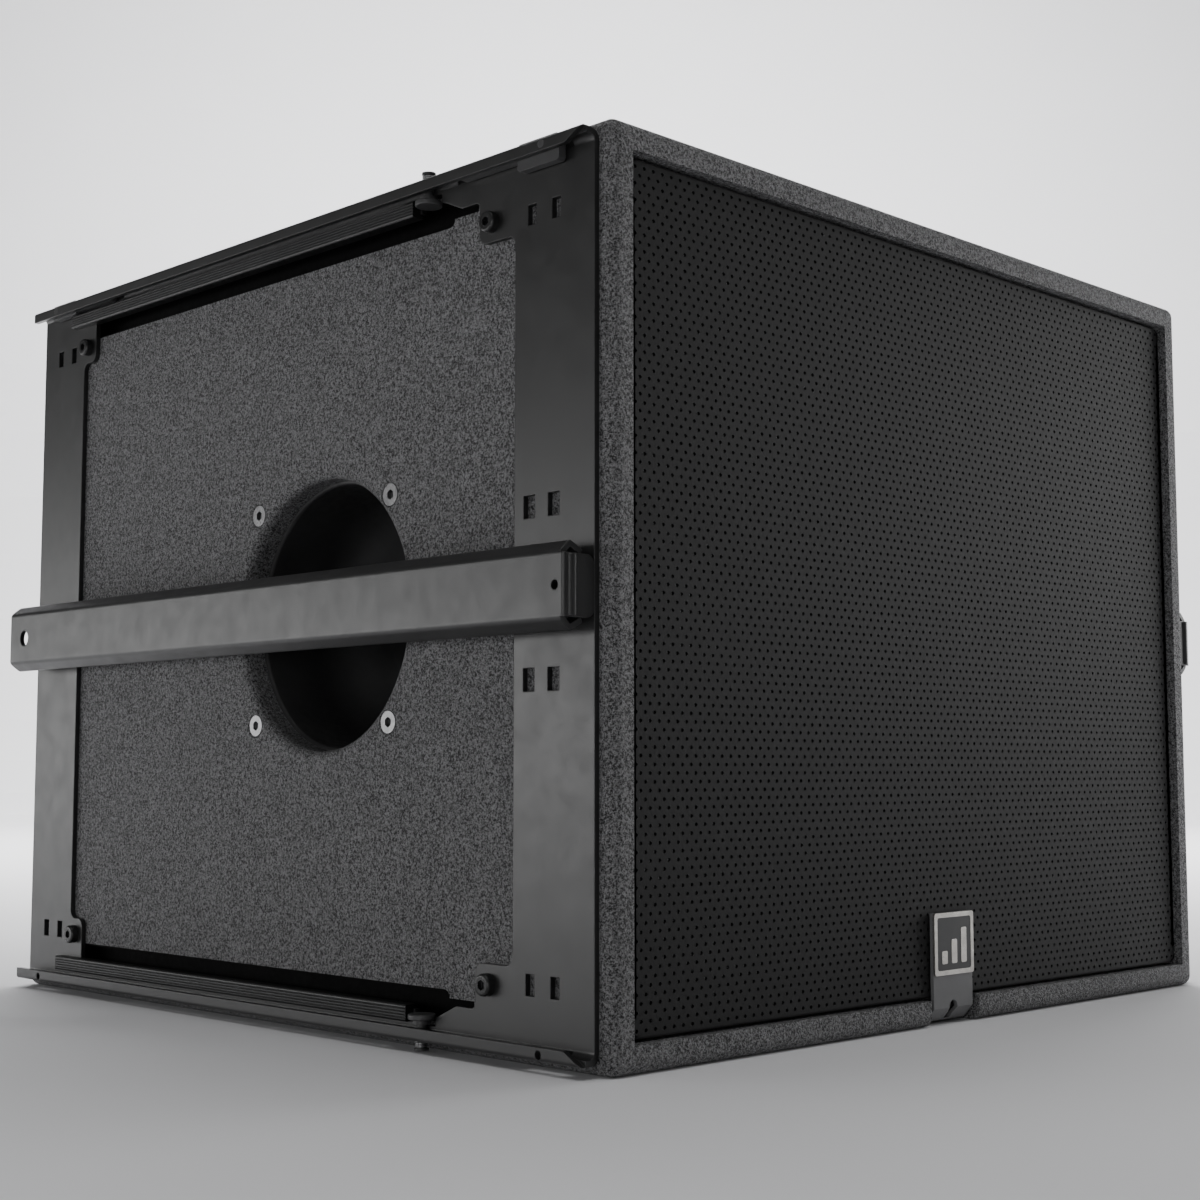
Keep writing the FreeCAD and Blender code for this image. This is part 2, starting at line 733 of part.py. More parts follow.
def window_cutter():
    """Window between the strips, wider between the corner tabs, with a wave beside each knob."""
    body = side_box(-1, SHEET + 1, WINDOW_U0, WINDOW_U1, MID_Z - WINDOW_Z, MID_Z + WINDOW_Z)
    tall = side_box(-1, SHEET + 1, TAB_U0, TAB_U1, MID_Z - EDGE_Z + 4, MID_Z + EDGE_Z - 4)
    tall_corner = [e for e in tall.Edges if abs(e.tangentAt(e.FirstParameter).x) > 0.9]
    tall = tall.makeFillet(3.0, tall_corner)
    strip_edge = side_box(-1, SHEET + 1, STRIP_U0 - 1, TAB_U1, MID_Z, MID_Z + EDGE_Z)
    z_wave = HEIGHT - RAIL_IN - WAVE_DROP
    wave_points = ((TAB_U0 + 14, MID_Z), (TAB_U0 + 14, MID_Z + EDGE_Z - 4), (PLUNGER_U - 9, z_wave),
                   (STRIP_U0 - 1, z_wave), (STRIP_U0 - 1, MID_Z))
    wave = prism([side_point(-1, u, z) for u, z in wave_points], X * (SHEET + 2))
    upper = strip_edge.fuse(wave)
    window = body.multiFuse([tall, upper, mirror_z(upper)]).removeSplitter()
    places = [(u, MID_Z + b * WINDOW_Z) for u in (WINDOW_U0, TAB_U0, TAB_U1, WINDOW_U1) for b in (-1, 1)]
    corners = []
    for edge in window.Edges:
        middle = edge.CenterOfMass
        near = [1 for u, z in places if abs(middle.y - front_y(u)) < 0.1 and abs(middle.z - z) < 0.1]
        if near and abs(edge.tangentAt(edge.FirstParameter).x) > 0.9:
            corners.append(edge)
    return window.makeFillet(TAB_R, corners)


def frame_slots():
    """Small rectangular hook slots in both strips, in side coordinates."""
    places = [(u, b * SLOT_Z, SLOT_W / 2, SLOT_H / 2) for u in SLOT_U for b in (-1, 1)]
    places += [(u, b * MID_SLOT_Z, MID_SLOT_W / 2, MID_SLOT_H / 2) for u in MID_SLOT_U for b in (-1, 1)]
    return [side_box(-1, SHEET + 1, u - w, u + w, MID_Z + z - h, MID_Z + z + h) for u, z, w, h in places]


def lip_slant():
    """Cutter that slants the front end of the upper lip."""
    points = ((FRAME_U0 - 1, HEIGHT - RAIL_IN - 1), (FRAME_U0 + END_SLANT, HEIGHT - RAIL_IN - 1),
              (FRAME_U0, HEIGHT - LIP_TOP), (FRAME_U0 - 1, HEIGHT - LIP_TOP))
    return prism([side_point(RAIL_D - SHEET - 0.5, u, z) for u, z in points], X * (SHEET + 1))


def rail_cutters():
    """Slots and bores in the rails: link slots, accessory slot, knob clearance, plunger and link bores."""
    z_flange = HEIGHT - RAIL_IN
    link_slot = side_box(SHEET + 0.1, RAIL_D - SHEET - 0.1, LINK_U - 14, LINK_U + LINK_LENGTH + 6,
                         z_flange - 3, HEIGHT)
    low_slot = mirror_z(side_box(SHEET + 0.1, RAIL_D - SHEET - 0.1, LINK_U - 14, LINK_U + 14,
                                 z_flange - 3, HEIGHT))
    long_slot = side_box(SHEET + 2.0, RAIL_D - SHEET - 0.4, STRIP_U0 + 14,
                         DEPTH - LINK_U - LINK_LENGTH - 20, z_flange - 1, HEIGHT)
    knob = side_box(-1, RAIL_D + 1, PLUNGER_U - PLUNGER_R - 1, PLUNGER_U + PLUNGER_R + 1, MID_Z,
                    z_flange - 0.7)
    bore_base = side_point(PLUNGER_D, PLUNGER_U, z_flange - 5)
    plunger_bore = Part.makeCylinder(PLUNGER_PIN_R + LINK_PLAY, 20, bore_base, Z)
    lower_bore = side_rod(LINK_PIN_R + BORE_PLAY, SHEET + 1, RAIL_D + 1, LINK_U, LINK_SEAT_Z)
    cutters = [link_slot, mirror_y(link_slot), low_slot, mirror_y(low_slot), long_slot, mirror_z(long_slot)]
    cutters += [lip_slant(), mirror_z(lip_slant())]
    cutters += [knob, mirror_z(knob), plunger_bore, mirror_z(plunger_bore)]
    cutters += [lower_bore, mirror_y(lower_bore)]
    return cutters


def make_side_frame_right():
    """Steel frame of one side: two strips joined by the rails along the top and the bottom."""
    half = frame_profile().extrude(Y * (FRAME_U1 - FRAME_U0))
    frame = fuse([half, mirror_z(half)])
    rims = [e for e in frame.Edges if abs(e.tangentAt(e.FirstParameter).y) > 0.9
            and abs(e.CenterOfMass.x - HALF_W - RAIL_D) < 0.1
            and abs(e.CenterOfMass.z - MID_Z) > MID_Z - LIP_TOP - 0.1]
    frame = frame.makeFillet(LIP_R, rims)
    frame = frame.cut(window_cutter())
    frame = cut_all(frame, frame_slots())
    frame = cut_all(frame, rail_cutters())
    frame = cut_all(frame, link_pins_right())
    for u, z in frame_screw_places():
        frame = frame.cut(frame_screw_shank(u, z))
    return frame


def make_frame_screws_right():
    screws = []
    d_face = SHEET + SCREW_HEAD_T
    for u, z in frame_screw_places():
        head = side_rod(SCREW_HEAD_R, SHEET, d_face, u, z)
        rim = [e for e in head.Edges if abs(e.CenterOfMass.x - HALF_W - d_face) < 0.1 and e.Length > 20]
        head = head.makeFillet(1.4, rim)
        screw = fuse([head, frame_screw_shank(u, z)])
        screws.append(screw.cut(hex_socket(2.6, 2.5, side_point(d_face - 2.5, u, z), X)))
    return screws


def make_grip_strip_right(frame):
    """Ribbed trim clipped over the window's upper edge, where fingers hold the rail."""
    z1 = HEIGHT - RAIL_IN - STRIP_GAP
    z0 = z1 - STRIP_H
    strip = side_box(STRIP_BACK, STRIP_D, STRIP_U0, STRIP_U1, z0, z1)
    front = [e for e in strip.Edges if abs(e.tangentAt(e.FirstParameter).y) > 0.9
             and abs(e.CenterOfMass.x - HALF_W - STRIP_D) < 0.1]
    strip = strip.makeFillet(1.2, front)
    for k in range(4):
        z = z0 + 2.0 + RIB_PITCH * k
        groove = ((STRIP_D - RIB_DEPTH, z), (STRIP_D + 0.1, z - 0.45), (STRIP_D + 0.1, z + 0.45))
        points = [side_point(d, STRIP_U0 - 1, level) for d, level in groove]
        strip = strip.cut(prism(points, Y * (STRIP_U1 - STRIP_U0 + 2)))
    return strip.cut(frame)


# ---------------------------------------------------------------- handle bar and cup
def bar_section():
    """Six-sided open section of the bar in (d, z): flat web, flared flanges turned in at the back."""
    outer = [(BAR_BACK_D, -BAR_BACK), (BAR_WIDE_D, -BAR_WIDE), (BAR_D, -BAR_WEB), (BAR_D, BAR_WEB),
             (BAR_WIDE_D, BAR_WIDE), (BAR_BACK_D, BAR_BACK)]
    inner = parallel(outer, BAR_T)
    return outer + inner[::-1]


def bar_length():
    """The bar's whole length with rounded bends, its rear end rounded off."""
    u0 = FRAME_U0 + END_WALL_T
    points = [side_point(d, u0, MID_Z + z) for d, z in bar_section()]
    bar = prism(points, Y * (FRAME_U1 - u0))
    for d, z, radius in ((BAR_D, BAR_WEB, BAR_BEND_R), (BAR_WIDE_D, BAR_WIDE, 1.5)):
        bends = [e for e in bar.Edges if abs(e.tangentAt(e.FirstParameter).y) > 0.9
                 and abs(e.CenterOfMass.x - HALF_W - d) < 0.1
                 and abs(abs(e.CenterOfMass.z - MID_Z) - z) < 0.1]
        bar = bar.makeFillet(radius, bends)
    reach = BAR_WIDE + 1.2
    outline = side_box(0, BAR_D + 1, FRAME_U0 - 20, FRAME_U1, MID_Z - reach, MID_Z + reach)
    rear = [e for e in outline.Edges if abs(e.tangentAt(e.FirstParameter).x) > 0.9
            and e.CenterOfMass.y > 0]
    return bar.common(outline.makeFillet(BAR_END_R, rear))


def bar_end_wall():
    """Wall that closes the bar's front end, rounded at its foot and at the bend, with a bead in the bend."""
    wall = side_box(SHEET, BAR_D, FRAME_U0, FRAME_U0 + END_WALL_T, MID_Z - END_WALL, MID_Z + END_WALL)
    foot = [e for e in wall.Edges if abs(e.tangentAt(e.FirstParameter).y) > 0.9
            and abs(e.CenterOfMass.x - HALF_W - SHEET) < 0.1]
    wall = wall.makeFillet(5.0, foot)
    bend = [e for e in wall.Edges if abs(e.tangentAt(e.FirstParameter).z) > 0.9
            and abs(e.CenterOfMass.x - HALF_W - BAR_D) < 0.1
            and abs(e.CenterOfMass.y - front_y(FRAME_U0)) < 0.1]
    bead_base = side_point(BAR_D - 5.5, FRAME_U0 + 1.6, MID_Z - END_WALL + 0.5)
    return wall.makeFillet(2.0, bend), Part.makeCylinder(3.0, 2 * END_WALL - 1, bead_base, Z)


def make_handle_bar_right():
    bar = fuse([bar_length(), *bar_end_wall()])
    bar = bar.cut(side_rod(2.3, BAR_D - 4, BAR_D + 1, BAR_PIN_U, MID_Z))
    return bar.cut(side_rod(5.0, BAR_D - 4, BAR_D + 1, BAR_HOLE_U, MID_Z))


def make_bar_bracket_right():
    """Two standoff plates on a base that carry the bar's rear end on the frame."""
    base = side_box(SHEET, SHEET + BRACKET_T, BRACKET_U0, BRACKET_U1, MID_Z - BRACKET_H, MID_Z + BRACKET_H)
    arms = [side_box(SHEET, BAR_D - BAR_T, BRACKET_U0, BRACKET_U1, MID_Z + b * BRACKET_H,
                     MID_Z + b * (BRACKET_H - BRACKET_T)) for b in (-1, 1)]
    bracket = fuse([base] + arms)
    notch = side_box(SHEET - 1, SHEET + BRACKET_T + 1, BAR_HOLE_U - 10, BRACKET_U1 + 1, MID_Z - 8, MID_Z + 8)
    return bracket.cut(notch)


def cup_bowl(radius, d_bottom, corner):
    """Solid of the bowl's inside or outside: a straight wall with a rounded bottom corner."""
    bowl = side_rod(radius, d_bottom, -PANEL, CUP_U, MID_Z)
    bottom = [e for e in bowl.Edges if abs(e.CenterOfMass.x - HALF_W - d_bottom) < 0.1]
    return bowl.makeFillet(corner, bottom)


def make_handle_cup_right():
    """Plastic bowl behind the side panel, with a flange that the four screws hold."""
    flange = side_rod(CUP_FLANGE_R, -PANEL - CUP_T, -PANEL, CUP_U, MID_Z)
    outside = cup_bowl(CUP_MOUTH_R + CUP_T, -PANEL - CUP_DEPTH - CUP_T, CUP_BOTTOM_R + CUP_T)
    cup = flange.fuse(outside).cut(cup_bowl(CUP_MOUTH_R, -PANEL - CUP_DEPTH, CUP_BOTTOM_R))
    mouth = [e for e in cup.Edges if abs(e.CenterOfMass.x - HALF_W + PANEL) < 0.1
             and abs(e.Length - 2 * math.pi * CUP_MOUTH_R) < 1]
    cup = cup.makeFillet(CUP_LIP_R, mouth)
    return cut_all(cup, [cup_screw(u, z) for u, z in cup_screw_places()])


def make_cup_screws_right():
    screws = []
    for u, z in cup_screw_places():
        screws.append(cup_screw(u, z).cut(hex_socket(2.7, 2.6, side_point(CUP_SCREW_D - 2.6, u, z), X)))
    return screws


# ---------------------------------------------------------------- link arms and lock plungers
def link_pin_front():
    return side_rod(LINK_PIN_R, -10, RAIL_D, LINK_U, LINK_Z)


def link_pins_right():
    pin = link_pin_front()
    return [pin, mirror_y(pin)]


def make_link_arm_front_right(drop):
    """Flat arm lying in the upper rail, with a pin hole and a block at its pivot that hangs down by drop."""
    def flat(u0, u1, z0, z1, radius):
        plate = side_box(LINK_D0, LINK_D1, u0, u1, z0, z1)
        corners = [e for e in plate.Edges if abs(e.tangentAt(e.FirstParameter).x) > 0.9]
        return plate.makeFillet(radius, corners)

    block = flat(LINK_U - LINK_NOSE, LINK_U + LINK_BLOCK_U, LINK_Z - drop, LINK_Z + LINK_BLOCK, 2.0)
    bar = flat(LINK_U - 5, LINK_U + LINK_LENGTH, LINK_Z - LINK_BAR, LINK_Z + LINK_BAR, 3.0)
    arm = fuse([block, bar])
    bores = ((LINK_PLAY, LINK_U), (BORE_PLAY, LINK_U + LINK_HOLE))
    cutters = [side_rod(LINK_PIN_R + play, LINK_D0 - 1, LINK_D1 + 1, u, LINK_Z) for play, u in bores]
    return cut_all(arm, cutters)


def make_lock_plunger_top_right():
    """Disc knob on a neck, pin through the flange and a collar above it for the return spring."""
    z_flange = HEIGHT - RAIL_IN
    z_knob = z_flange - KNOB_GAP
    z_neck = z_knob - PLUNGER_NECK
    z_disc = z_neck - PLUNGER_DISC
    disc = Part.makeCylinder(PLUNGER_R, PLUNGER_DISC, side_point(PLUNGER_D, PLUNGER_U, z_disc), Z)
    rims = [e for e in disc.Edges if e.Length > 40]
    disc = disc.makeFillet(0.7, rims)
    neck = Part.makeCylinder(PLUNGER_R - 2.5, PLUNGER_NECK, side_point(PLUNGER_D, PLUNGER_U, z_neck), Z)
    pin_base = side_point(PLUNGER_D, PLUNGER_U, z_knob)
    pin = Part.makeCylinder(PLUNGER_PIN_R, HEIGHT - PIN_TOP - z_knob, pin_base, Z)
    collar = Part.makeCylinder(COLLAR_R, COLLAR_T, side_point(PLUNGER_D, PLUNGER_U, HEIGHT - COLLAR_Z), Z)
    return fuse([disc, neck, pin, collar])


def flat_wire_spring(height):
    """Compression spring of flat wire on the Z axis, its turns made of short straight runs."""
    steps = SPRING_TURNS * SPRING_RUNS
    points = []
    for k in range(steps + 1):
        angle = 2 * math.pi * k / SPRING_RUNS
        z = SPRING_WIRE / 2 + (height - SPRING_WIRE) * k / steps
        points.append(vec(SPRING_R * math.cos(angle), SPRING_R * math.sin(angle), z))
    half = SPRING_WIRE / 2
    corners = [points[0] + X * a * half + Z * b * half for a, b in ((-1, -1), (1, -1), (1, 1), (-1, 1))]
    sweep = Part.BRepOffsetAPI.MakePipeShell(Part.makePolygon(points))
    sweep.setTransitionMode(1)
    sweep.add(Part.makePolygon(corners + [corners[0]]))
    sweep.build()
    sweep.makeSolid()
    return sweep.shape()


def make_lock_springs():
    """Four equal springs between the flanges and the plungers' collars."""
    z0 = HEIGHT - LIP_TOP + SPRING_GAP
    z1 = HEIGHT - COLLAR_Z - SPRING_GAP
    springs = {}
    for side, name in ((1, "right"), (-1, "left")):
        for end, z in (("top", z0), ("bottom", HEIGHT - z1)):
            spring = flat_wire_spring(z1 - z0)
            spring.translate(vec(side * (HALF_W + PLUNGER_D), front_y(PLUNGER_U), z))
            springs["lock_spring_" + end + "_" + name] = spring
    return springs


# ---------------------------------------------------------------- rear connectors
def make_connector_plate():
    y0 = HALF_D - CONN_RECESS
    plate = box(-CONN_W / 2, CONN_W / 2, y0, y0 + CONN_T, CONN_Z - CONN_H / 2, CONN_Z + CONN_H / 2)
    corners = [e for e in plate.Edges if abs(e.tangentAt(e.FirstParameter).y) > 0.9]
    plate = plate.makeFillet(4.0, corners)
    for side in (-1, 1):
        plate = plate.cut(Part.makeCylinder(SOCKET_R, 10, vec(side * SOCKET_X, y0 - 2, CONN_Z), Y))
    return cut_all(plate, connector_screw_list())


def connector_screw_list():
    """Four countersunk screws at the plate's corners."""
    screws = []
    y1 = HALF_D - CONN_RECESS + CONN_T
    for a in (-1, 1):
        for b in (-1, 1):
            base = vec(a * (CONN_W / 2 - CONN_SCREW_IN), y1, CONN_Z + b * (CONN_H / 2 - CONN_SCREW_IN))
            head = Part.makeCone(2.0, 4.0, 2.0, base - Y * 2.0, Y)
            shank = Part.makeCylinder(2.0, 8.0, base - Y * 10.0, Y)
            screws.append(fuse([head, shank]))
    return screws


def make_speaker_socket(x):
    """Round four-pole panel socket: square flange, barrel and centre core with its contacts."""
    y1 = HALF_D - CONN_RECESS + CONN_T
    flange = box(x - SOCKET_HALF, x + SOCKET_HALF, y1, y1 + 2.4, CONN_Z - SOCKET_HALF, CONN_Z + SOCKET_HALF)
    corners = [e for e in flange.Edges if abs(e.tangentAt(e.FirstParameter).y) > 0.9]
    flange = flange.makeFillet(3.0, corners)
    barrel = Part.makeCylinder(SOCKET_R, 27, vec(x, y1 - 27, CONN_Z), Y)
    bore = Part.makeCylinder(SOCKET_BORE_R, 24.5, vec(x, y1 - 20, CONN_Z), Y)
    core = Part.makeCylinder(SOCKET_CORE_R, 20, vec(x, y1 - 21, CONN_Z), Y)
    tab_places = [(x + a * 6, CONN_Z + b * 5) for a in (-1, 1) for b in (-1, 1)]
    tabs = [box(u - 2.4, u + 2.4, y1 - 35, y1 - 26, z - 0.5, z + 0.5) for u, z in tab_places]
    return fuse([flange.fuse(barrel).cut(bore), core] + tabs)


def cable_path():
    """Inner cable's route from the sockets' tabs to the driver's terminals."""
    y_socket = HALF_D - CONN_RECESS + CONN_T - 35.5
    y_driver = front_y(DRIVER_S + 98.5)
    return [vec(SOCKET_X - 6, y_socket, CONN_Z - 5), vec(SOCKET_X - 10, y_socket - 60, CONN_Z - 20),
            vec(18, 90, 84), vec(12, 0, 72), vec(9, y_driver + 50, 78),
            vec(8, y_driver + 8, 92), vec(8, y_driver, MID_Z - 111)]


def make_driver_cable():
    """Cable tube: straight runs joined by tangent arcs."""
    points = cable_path()
    edges = []
    start = points[0]
    for i in range(1, len(points) - 1):
        a = points[i - 1]
        b = points[i]
        c = points[i + 1]
        into = (a - b).normalize()
        out = (c - b).normalize()
        reach = 0.4 * min((a - b).Length, (c - b).Length)
        p0 = b + into * reach
        p1 = b + out * reach
        half = into.getAngle(out) / 2
        bisector = (into + out).normalize()
        radius = reach * math.tan(half)
        middle = b + bisector * (reach / math.cos(half) - radius)
        edges.append(Part.LineSegment(start, p0).toShape())
        edges.append(Part.Arc(p0, middle, p1).toShape())
        start = p1
    edges.append(Part.LineSegment(start, points[-1]).toShape())
    wire = Part.Wire(edges)
    circle = Part.Wire(Part.Circle(points[0], points[1] - points[0], CABLE_R).toShape())
    return wire.makePipeShell([circle], True, True)


# ---------------------------------------------------------------- build
def both(shapes):
    """One group of right-side shapes and their mirror images."""
    return group(shapes + [mirror_x(shape) for shape in shapes])


def both_sides(parts, name, shape):
    """Adds a right-side shape and its mirror image."""
    parts[name.replace("SIDE", "right")] = shape
    parts[name.replace("SIDE", "left")] = mirror_x(shape)


def build():
    block = cabinet_block()
    cone = make_cone()
    frame = make_side_frame_right()
    strip = make_grip_strip_right(frame)
    liner = make_grip_liner_right()
    plunger = make_lock_plunger_top_right()
    parts = {
        "top_panel": make_top_panel(block),
        "bottom_panel": make_bottom_panel(block),
        "rear_panel": make_rear_panel(block),
        "front_baffle": make_front_baffle(),
        "internal_brace": make_internal_brace(),
        "grille_battens": make_grille_battens(),
        "damping_lining": make_damping_lining(),
        "grille": make_grille(),
        "grille_foam": make_grille_foam(),
        "grille_clip": make_grille_clip(),
        "badge_plate": make_badge_plate(),
        "badge_inlay": make_badge_inlay(),
        "clip_screw": make_clip_screw(),
        "driver_basket": make_driver_basket(),
        "driver_gasket": make_driver_gasket(),
        "driver_screws": group(driver_screw_list()),
        "surround": make_surround(),
        "cone": cone,
        "dust_cap": make_dust_cap(cone),
        "voice_coil": make_voice_coil(),
        "spider": make_spider(),
        "top_plate": make_top_plate(),
        "magnet": make_magnet(),
        "pole_plate": make_pole_plate(),
        "driver_terminals": make_driver_terminals(),
        "connector_plate": make_connector_plate(),
        "connector_screws": group(connector_screw_list()),
        "speaker_socket_in": make_speaker_socket(-SOCKET_X),
        "speaker_socket_link": make_speaker_socket(SOCKET_X),
        "driver_cable": make_driver_cable(),
        "frame_screws": both(make_frame_screws_right()),
        "cup_screws": both(make_cup_screws_right()),
        "grip_strips": both([strip, mirror_z(strip).cut(frame)]),
        "bar_brackets": both([make_bar_bracket_right()]),
        "grip_liners": both([liner, mirror_z(liner)]),
        "link_pins": both(link_pins_right()),
    }
    both_sides(parts, "side_panel_SIDE", make_side_panel_right(block))
    both_sides(parts, "port_duct_SIDE", make_port_duct_right())
    both_sides(parts, "side_frame_SIDE", frame)
    both_sides(parts, "handle_bar_SIDE", make_handle_bar_right())
    both_sides(parts, "handle_cup_SIDE", make_handle_cup_right())
    both_sides(parts, "link_arm_front_SIDE", make_link_arm_front_right(LINK_DROP))
    both_sides(parts, "link_arm_rear_SIDE", mirror_y(make_link_arm_front_right(LINK_BLOCK)))
    both_sides(parts, "lock_plunger_top_SIDE", plunger)
    both_sides(parts, "lock_plunger_bottom_SIDE", mirror_z(plunger))
    parts.update(make_lock_springs())
    return parts


os.makedirs("parts", exist_ok=True)
for node, shape in build().items():
    print(node, round(shape.Volume), len(shape.Solids), shape.isValid())
    shape.exportStep("parts/" + node + ".step")
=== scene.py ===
import json
import math

import bmesh
import bpy
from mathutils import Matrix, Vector


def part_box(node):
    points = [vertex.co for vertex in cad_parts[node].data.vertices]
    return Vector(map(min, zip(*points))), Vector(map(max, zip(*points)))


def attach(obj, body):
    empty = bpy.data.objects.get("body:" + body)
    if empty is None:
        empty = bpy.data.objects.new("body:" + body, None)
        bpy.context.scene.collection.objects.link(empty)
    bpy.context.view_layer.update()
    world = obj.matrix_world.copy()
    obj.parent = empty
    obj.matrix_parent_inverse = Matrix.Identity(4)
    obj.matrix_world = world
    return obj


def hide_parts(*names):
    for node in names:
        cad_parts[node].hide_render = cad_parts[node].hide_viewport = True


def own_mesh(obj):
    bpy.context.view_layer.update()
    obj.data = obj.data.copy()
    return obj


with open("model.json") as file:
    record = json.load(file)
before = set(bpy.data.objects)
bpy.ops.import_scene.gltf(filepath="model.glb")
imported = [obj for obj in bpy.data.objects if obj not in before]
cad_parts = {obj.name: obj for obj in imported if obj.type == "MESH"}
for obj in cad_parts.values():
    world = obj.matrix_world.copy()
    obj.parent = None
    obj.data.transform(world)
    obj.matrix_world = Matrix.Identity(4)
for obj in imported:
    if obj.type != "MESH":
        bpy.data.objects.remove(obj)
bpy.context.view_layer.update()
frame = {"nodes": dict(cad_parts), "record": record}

# ---------------------------------------------------------------- named values (metres)
MM = 0.001
GRILLE_LOW, GRILLE_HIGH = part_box("grille")
GRILLE_SHEET = 1.5 * MM
GRILLE_CORNER = 6.0 * MM
GRILLE_BEND = 1.4 * MM
GRILLE_CORNER_STEPS = 6
PERF_PITCH = 6.29 * MM
PERF_ROW = 4.03 * MM
PERF_TILE_LOW = PERF_ROW * 0.38
PERF_RADIUS = 1.05 * MM
PERF_MARGIN = 2.2 * MM
PERF_SIDES = 8

FOAM_CELL = 4.0 * MM
FOAM_WAVE = 0.35 * MM
FOAM_RIM = 0.5 * MM

SPRING_WIRE = 0.28 * MM
SPRING_TURNS = 3.5
SPRING_RUNS = 24
SPRING_SIDES = 8

BEVEL_SAMPLES = 4

FLOOR_HALF = 6.0
FLOOR_NEAR = -8.0
FLOOR_BEND_START = 3.5
FLOOR_BEND_RADIUS = 1.5
FLOOR_BEND_STEPS = 10
FLOOR_TOP = 6.0

AMBIENT = 0.12
MIDDLE = (0, 0, 0.2)
# name, place, target, size, power in watts, spread in degrees
LIGHTS = (
    ("left_softbox", (-2.0, 1.7, 0.20), (0, 0, 0.12), (2.2, 0.6), 16, 180),
    ("left_front", (-2.6, -1.2, 0.12), MIDDLE, (1.5, 0.8), 14, 180),
    ("right_softbox", (2.85, -0.85, 0.8), MIDDLE, (1.4, 1.0), 28, 180),
    ("overhead", (0, -0.3, 3.0), MIDDLE, (3.0, 3.0), 20, 180),
    ("backdrop_light", (1.2, 1.2, 2.6), (2.9, 2.9, 0.2), (3.0, 1.0), 340, 180),
    ("floor_light", (-1.4, -1.4, 2.5), (-1.4, -1.4, 0), (2.4, 2.4), 6, 60),
)

CAMERA_AT = Vector((-0.866, -0.863, 0.1378))
CAMERA_YAW = math.radians(44.81)
CAMERA_PITCH = math.radians(5.17)
CAMERA_LENS = 56.17
CAMERA_SENSOR = 36.0


# ---------------------------------------------------------------- material helpers
class Nodes:
    """Small wrapper that adds and links shader nodes of one material."""

    def __init__(self, name):
        self.material = bpy.data.materials.new(name)
        self.material.use_nodes = True
        self.tree = self.material.node_tree
        self.shader = self.tree.nodes["Principled BSDF"]
        self.coord = self.add("ShaderNodeTexCoord").outputs["Object"]

    def add(self, kind, **settings):
        node = self.tree.nodes.new(kind)
        for key, value in settings.items():
            setattr(node, key, value)
        return node

    def link(self, source, target):
        self.tree.links.new(source, target)

    def noise(self, size, detail=2.0, roughness=0.5, stretch=(1, 1, 1)):
        """Noise with features of about this size in metres."""
        mapping = self.add("ShaderNodeMapping")
        mapping.inputs["Scale"].default_value = [1 / (size * s) for s in stretch]
        self.link(self.coord, mapping.inputs["Vector"])
        node = self.add("ShaderNodeTexNoise")
        node.inputs["Scale"].default_value = 1.0
        node.inputs["Detail"].default_value = detail
        node.inputs["Roughness"].default_value = roughness
        self.link(mapping.outputs["Vector"], node.inputs["Vector"])
        return node.outputs["Fac"]

    def cells(self, size):
        """Voronoi distance with cells of about this size in metres."""
        node = self.add("ShaderNodeTexVoronoi")
        node.inputs["Scale"].default_value = 1 / size
        self.link(self.coord, node.inputs["Vector"])
        return node.outputs["Distance"]

    def spread(self, value, low, high, out_low, out_high):
        """Maps low..high of a value to out_low..out_high."""
        node = self.add("ShaderNodeMapRange")
        ends = {"From Min": low, "From Max": high, "To Min": out_low, "To Max": out_high}
        for key, number in ends.items():
            node.inputs[key].default_value = number
        self.link(value, node.inputs["Value"])
        return node.outputs["Result"]

    def combine(self, operation, a, b):
        """Math node on two numbers or sockets."""
        node = self.add("ShaderNodeMath", operation=operation)
        for socket, value in zip(node.inputs, (a, b)):
            if isinstance(value, (int, float)):
                socket.default_value = value
            else:
                self.link(value, socket)
        return node.outputs["Value"]

    def mix(self, factor, a, b):
        """Colour mix of two colours or sockets."""
        node = self.add("ShaderNodeMix", data_type="RGBA")
        self.link(factor, node.inputs["Factor"])
        for socket, value in ((node.inputs[6], a), (node.inputs[7], b)):
            if isinstance(value, tuple):
                socket.default_value = (*value, 1)
            else:
                self.link(value, socket)
        return node.outputs[2]

    def edges(self, radius):
        """0 on flat surface, 1 on edges within this radius."""
        bevel = self.add("ShaderNodeBevel", samples=BEVEL_SAMPLES)
        bevel.inputs["Radius"].default_value = radius
        geometry = self.add("ShaderNodeNewGeometry")
        dot = self.add("ShaderNodeVectorMath", operation="DOT_PRODUCT")
        self.link(bevel.outputs["Normal"], dot.inputs[0])
        self.link(geometry.outputs["True Normal"], dot.inputs[1])
        return self.spread(dot.outputs["Value"], 0.99, 0.75, 0.0, 1.0)

    def bump(self, heights, soft_edge=0.0):
        """Chain of bumps from (height socket, distance in metres) pairs over softened edges."""
        normal = None
        if soft_edge:
            bevel = self.add("ShaderNodeBevel", samples=BEVEL_SAMPLES)
            bevel.inputs["Radius"].default_value = soft_edge
            normal = bevel.outputs["Normal"]
        for height, distance in heights:
            node = self.add("ShaderNodeBump")
            node.inputs["Strength"].default_value = 1.0
            node.inputs["Distance"].default_value = distance
            self.link(height, node.inputs["Height"])
            if normal:
                self.link(normal, node.inputs["Normal"])
            normal = node.outputs["Normal"]
        self.link(normal, self.shader.inputs["Normal"])

    def set(self, **values):
        names = {"metallic": "Metallic", "specular": "Specular IOR Level", "sheen": "Sheen Weight",
                 "sheen_roughness": "Sheen Roughness", "roughness": "Roughness"}
        for key, value in values.items():
            self.shader.inputs[names[key]].default_value = value

    def colour(self, socket):
        self.link(socket, self.shader.inputs["Base Color"])

    def rough(self, socket):
        self.link(socket, self.shader.inputs["Roughness"])


